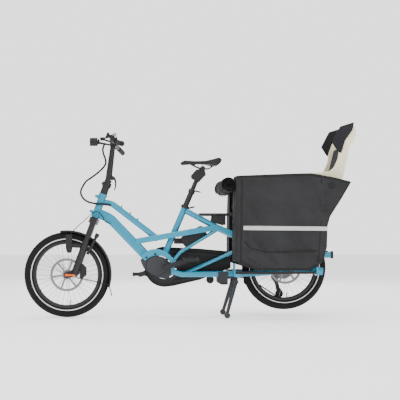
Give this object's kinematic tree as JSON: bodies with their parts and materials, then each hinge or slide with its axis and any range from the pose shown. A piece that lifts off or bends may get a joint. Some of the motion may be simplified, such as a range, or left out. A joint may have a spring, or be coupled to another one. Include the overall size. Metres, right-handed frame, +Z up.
{
  "type": "cargo bicycle",
  "caption": "Longtail electric cargo bicycle with small wheels, mid drive, suspension fork, fabric passenger enclosure on side boards, child seat and centre stand.",
  "frame": {"origin": "middle of the overall length and width, on the ground", "axes": "+X to the rear, +Y to the drive side (rider's right), +Z up"},
  "size_m": [2.029, 0.662, 1.1966],
  "materials": {
    "frame_paint": "sky-blue gloss powder coat",
    "black_metal": "satin black coat",
    "alloy": "brushed alloy",
    "steel": "bare steel",
    "tyre": "matt tread rubber",
    "rubber": "matt rubber",
    "black_plastic": "moulded, fine grain",
    "seat_plastic": "cream moulding",
    "bag_fabric": "coated woven polyester",
    "pad_fabric": "padded knit",
    "saddle_cover": "soft synthetic cover",
    "red_lens": "red lens"
  },
  "bodies": {
    "frame": {"head_tube": "frame_paint", "top_tube": "frame_paint", "down_tube": "frame_paint", "seat_tube": "frame_paint", "motor_bracket": "frame_paint", "side_rails": "frame_paint", "chainstays": "frame_paint", "frame_braces": "frame_paint", "seat_clamp": "black_metal", "drive_unit": "black_plastic", "chain": "steel", "chain_case": "black_plastic", "derailleur": "black_plastic", "battery_pack": "black_plastic", "rear_rack": "black_metal", "running_boards": "black_plastic", "board_brackets": "frame_paint", "rear_fender": "black_plastic", "rear_caliper": "black_plastic", "rear_axle": "steel", "tail_light": "red_lens", "rubber_feet": "rubber", "stand_bracket": "black_metal", "cargo_bag": "bag_fabric", "child_seat_shell": "seat_plastic", "child_seat_spine": "steel", "child_seat_pad": "pad_fabric", "frame_bolts": "steel", "control_cables": "rubber"},
    "steerer": {"fork_crown": "black_metal", "stem_base": "black_metal"},
    "fork_slider": {"fork_lowers": "black_metal", "front_fender": "black_plastic", "front_axle": "steel", "front_caliper": "black_plastic", "brake_control_box": "black_plastic"},
    "front_wheel": {"front_tyre": "tyre", "front_rim": "black_metal", "front_spokes": "steel", "front_hub": "steel"},
    "bar_post": {"handlepost": "black_metal", "handlebar": "black_metal", "grips": "rubber", "bar_controls": "black_plastic", "headlight": "black_plastic"},
    "brake_blade_left": {"brake_lever_left": "steel"},
    "brake_blade_right": {"brake_lever_right": "steel"},
    "post_latch": {"fold_lever": "black_metal"},
    "rear_wheel": {"rear_tyre": "tyre", "rear_rim": "black_metal", "rear_spokes": "steel", "rear_hub": "steel"},
    "sprockets": {"cassette": "steel"},
    "cranks": {"crankset": "steel"},
    "left_pedal": {"pedal_left": "black_plastic"},
    "right_pedal": {"pedal_right": "black_plastic"},
    "seat_mast": {"lower_seatpost": "black_metal"},
    "saddle_post": {"upper_seatpost": "black_metal", "saddle": "saddle_cover"},
    "centre_stand": {"kickstand": "black_metal"}
  },
  "joints": [
    {"name": "steering", "type": "hinge", "parent": "frame", "child": "steerer", "pos_m": [-0.58049, 0, 0.61602], "axis": [0.3371, 0, 0.9415], "range_deg": [-55, 55], "deforming": ["control_cables"]},
    {"name": "fork_travel", "type": "slide", "parent": "steerer", "child": "fork_slider", "axis": [0.3371, 0, 0.9415], "range_m": [0, 0.05], "stiffness_N_per_m": 9000, "springref_m": -0.02},
    {"name": "front_wheel_spin", "type": "hinge", "parent": "fork_slider", "child": "front_wheel", "pos_m": [-0.7515, 0, 0.263], "axis": [0, 1, 0], "continuous": true},
    {"name": "handlepost_fold", "type": "hinge", "parent": "steerer", "child": "bar_post", "pos_m": [-0.52566, -0.01838, 0.82369], "axis": [0.6657, -0.7071, -0.2384], "range_deg": [0, 90]},
    {"name": "fold_lever_turn", "type": "hinge", "parent": "bar_post", "child": "post_latch", "pos_m": [-0.46164, 0, 0.856], "axis": [0, -1, 0], "range_deg": [0, 60]},
    {"name": "brake_left", "type": "hinge", "parent": "bar_post", "child": "brake_blade_left", "pos_m": [-0.4655, -0.171, 1.112], "axis": [0.9062, 0.129, 0.4027], "range_deg": [0, 11], "stiffness_Nm_per_rad": 1.5, "springref_deg": -11.46},
    {"name": "brake_right", "type": "hinge", "parent": "bar_post", "child": "brake_blade_right", "pos_m": [-0.4655, 0.171, 1.112], "axis": [-0.9062, 0.129, -0.4027], "range_deg": [0, 11], "stiffness_Nm_per_rad": 1.5, "springref_deg": -11.46},
    {"name": "rear_wheel_spin", "type": "hinge", "parent": "frame", "child": "rear_wheel", "pos_m": [0.5955, 0, 0.306], "axis": [0, 1, 0], "continuous": true},
    {"name": "crank_spin", "type": "hinge", "parent": "frame", "child": "cranks", "pos_m": [-0.1485, 0, 0.308], "axis": [0, 1, 0], "continuous": true},
    {"name": "cassette_spin", "type": "hinge", "parent": "frame", "child": "sprockets", "pos_m": [0.5955, 0.056, 0.306], "axis": [0, 1, 0], "continuous": true},
    {"name": "pedal_left_spin", "type": "hinge", "parent": "cranks", "child": "left_pedal", "pos_m": [0.00367, -0.146, 0.35744], "axis": [0, 1, 0], "continuous": true},
    {"name": "pedal_right_spin", "type": "hinge", "parent": "cranks", "child": "right_pedal", "pos_m": [-0.30067, 0.146, 0.25856], "axis": [0, 1, 0], "continuous": true},
    {"name": "lower_post_slide", "type": "slide", "parent": "frame", "child": "seat_mast", "axis": [0.3939, 0, 0.9191], "range_m": [-0.06, 0.05]},
    {"name": "upper_post_slide", "type": "slide", "parent": "seat_mast", "child": "saddle_post", "axis": [0.3939, 0, 0.9191], "range_m": [-0.03, 0.05]},
    {"name": "kickstand_fold", "type": "hinge", "parent": "frame", "child": "centre_stand", "pos_m": [0.2835, 0, 0.219], "axis": [0, -1, 0], "range_deg": [0, 85]}
  ],
  "couplings": [
    {"joint": "cassette_spin", "follows": "crank_spin", "ratio": 2.4}
  ]
}
